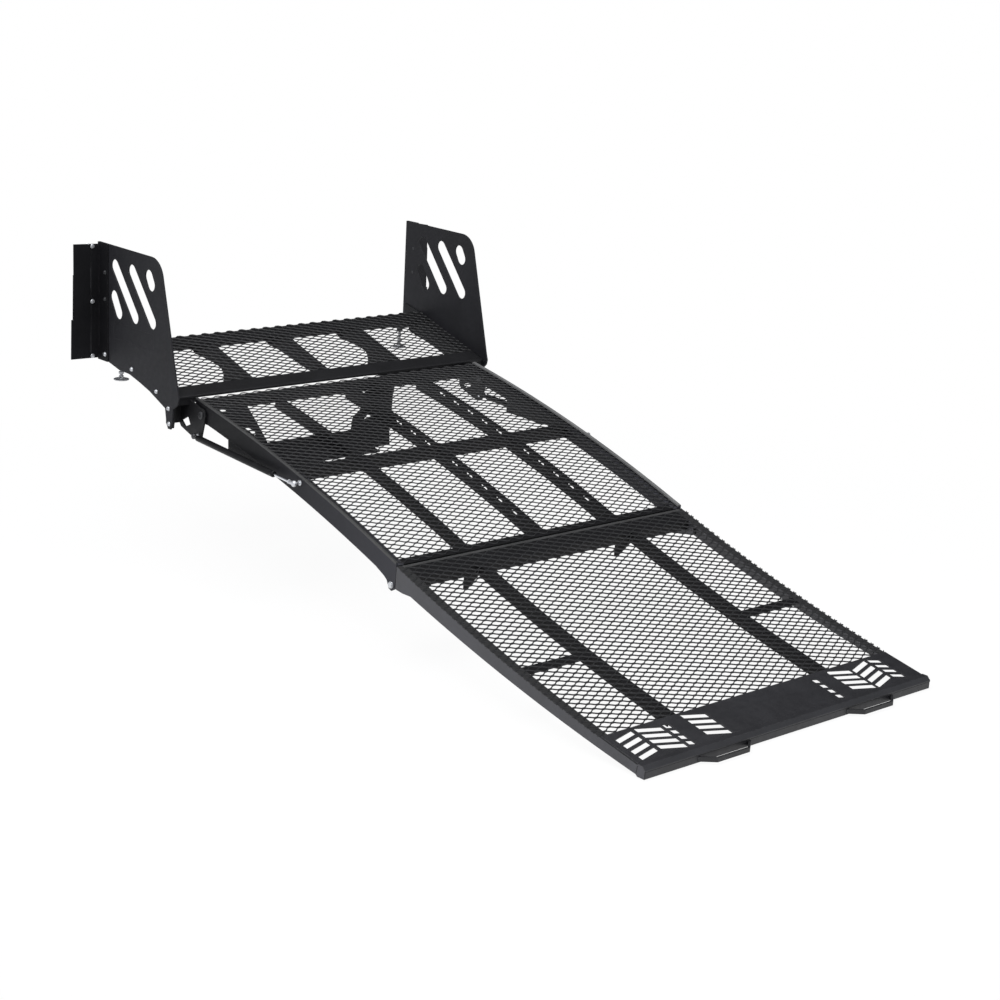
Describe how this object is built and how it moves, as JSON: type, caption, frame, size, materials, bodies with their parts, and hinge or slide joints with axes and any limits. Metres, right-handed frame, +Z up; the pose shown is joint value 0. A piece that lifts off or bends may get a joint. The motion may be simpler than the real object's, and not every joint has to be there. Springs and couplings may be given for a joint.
{
  "type": "pickup truck ramp rack",
  "caption": "Folding loading ramp and rack that takes the place of a pickup tailgate: side wings with posts, a short mesh platform and a hinged two section ramp with gas struts",
  "frame": {"origin": "centre of the post bolt pattern, on the truck side face of the posts", "axes": "X across the truck, +Y toward the truck, +Z up with the ramp resting on the ground"},
  "size_m": [1.768, 3.0732, 1.176],
  "materials": {
    "black_coat": "satin",
    "mesh_coat": "satin",
    "zinc": "bright",
    "strut_black": "gloss",
    "chrome_rod": "polished"
  },
  "bodies": {
    "frame": {"left_post": "black_coat", "right_post": "black_coat", "left_wing": "black_coat", "right_wing": "black_coat", "post_bolts": "zinc", "wing_bolts": "zinc", "platform_front_beam": "black_coat", "platform_rear_beam": "black_coat", "left_side_rail": "black_coat", "right_side_rail": "black_coat", "platform_stringer_left": "black_coat", "platform_stringer_centre": "black_coat", "platform_stringer_right": "black_coat", "platform_deck": "mesh_coat", "left_hinge_bracket": "black_coat", "right_hinge_bracket": "black_coat", "lift_pins": "zinc", "strut_anchor_studs": "zinc", "foot_brackets": "black_coat"},
    "upper_ramp": {"upper_rail_left": "black_coat", "upper_rail_right": "black_coat", "upper_head_beam": "black_coat", "upper_cross_beam": "black_coat", "upper_end_beam": "black_coat", "upper_stringer_left": "black_coat", "upper_stringer_centre": "black_coat", "upper_stringer_right": "black_coat", "upper_deck": "mesh_coat", "upper_hinge_ears": "black_coat", "upper_plate_carrier": "black_coat", "upper_carrier_stay": "black_coat", "strut_rail_studs": "zinc", "fold_knuckles": "black_coat", "fold_pins": "zinc"},
    "lower_ramp": {"lower_rail_left": "black_coat", "lower_rail_right": "black_coat", "lower_head_beam": "black_coat", "lower_stringer_left": "black_coat", "lower_stringer_right": "black_coat", "lower_cross_bars": "black_coat", "lower_deck": "mesh_coat", "lower_end_plate": "black_coat", "lower_end_tube": "black_coat", "left_handle": "black_coat", "right_handle": "black_coat", "stop_lugs": "black_coat"},
    "foot_l": {"left_foot": "zinc"},
    "foot_r": {"right_foot": "zinc"},
    "strut_tube_l": {"left_strut_cylinder": "strut_black"},
    "strut_rod_l": {"left_strut_rod": "chrome_rod"},
    "strut_tube_r": {"right_strut_cylinder": "strut_black"},
    "strut_rod_r": {"right_strut_rod": "chrome_rod"}
  },
  "joints": [
    {"name": "lift_hinge", "type": "hinge", "parent": "frame", "child": "upper_ramp", "pos_m": [0, -0.623, -0.334], "axis": [-1, 0, 0], "range_deg": [0, 100]},
    {"name": "fold_hinge", "type": "hinge", "parent": "upper_ramp", "child": "lower_ramp", "pos_m": [0, -1.774, -0.679], "axis": [1, 0, 0], "range_deg": [0, 178]},
    {"name": "left_foot_screw", "type": "slide", "parent": "frame", "child": "foot_l", "axis": [0, 0, 1], "range_m": [-0.03, 0.012]},
    {"name": "right_foot_screw", "type": "slide", "parent": "frame", "child": "foot_r", "axis": [0, 0, 1], "range_m": [-0.03, 0.012]},
    {"name": "left_strut_swing", "type": "hinge", "parent": "frame", "child": "strut_tube_l", "pos_m": [-0.714, -0.605, -0.416], "axis": [-1, 0, 0], "range_deg": [0, 95]},
    {"name": "left_strut_slide", "type": "slide", "parent": "strut_tube_l", "child": "strut_rod_l", "axis": [0, -0.9987, -0.05], "range_m": [0, 0.08]},
    {"name": "right_strut_swing", "type": "hinge", "parent": "frame", "child": "strut_tube_r", "pos_m": [0.714, -0.605, -0.416], "axis": [-1, 0, 0], "range_deg": [0, 95]},
    {"name": "right_strut_slide", "type": "slide", "parent": "strut_tube_r", "child": "strut_rod_r", "axis": [0, -0.9987, -0.05], "range_m": [0, 0.08]}
  ],
  "couplings": [
    {"joint": "left_strut_swing", "follows": "lift_hinge", "ratio": 0.91066},
    {"joint": "left_strut_slide", "follows": "lift_hinge", "m_per_rad": 0.042349},
    {"joint": "right_strut_swing", "follows": "lift_hinge", "ratio": 0.91066},
    {"joint": "right_strut_slide", "follows": "lift_hinge", "m_per_rad": 0.042349}
  ]
}
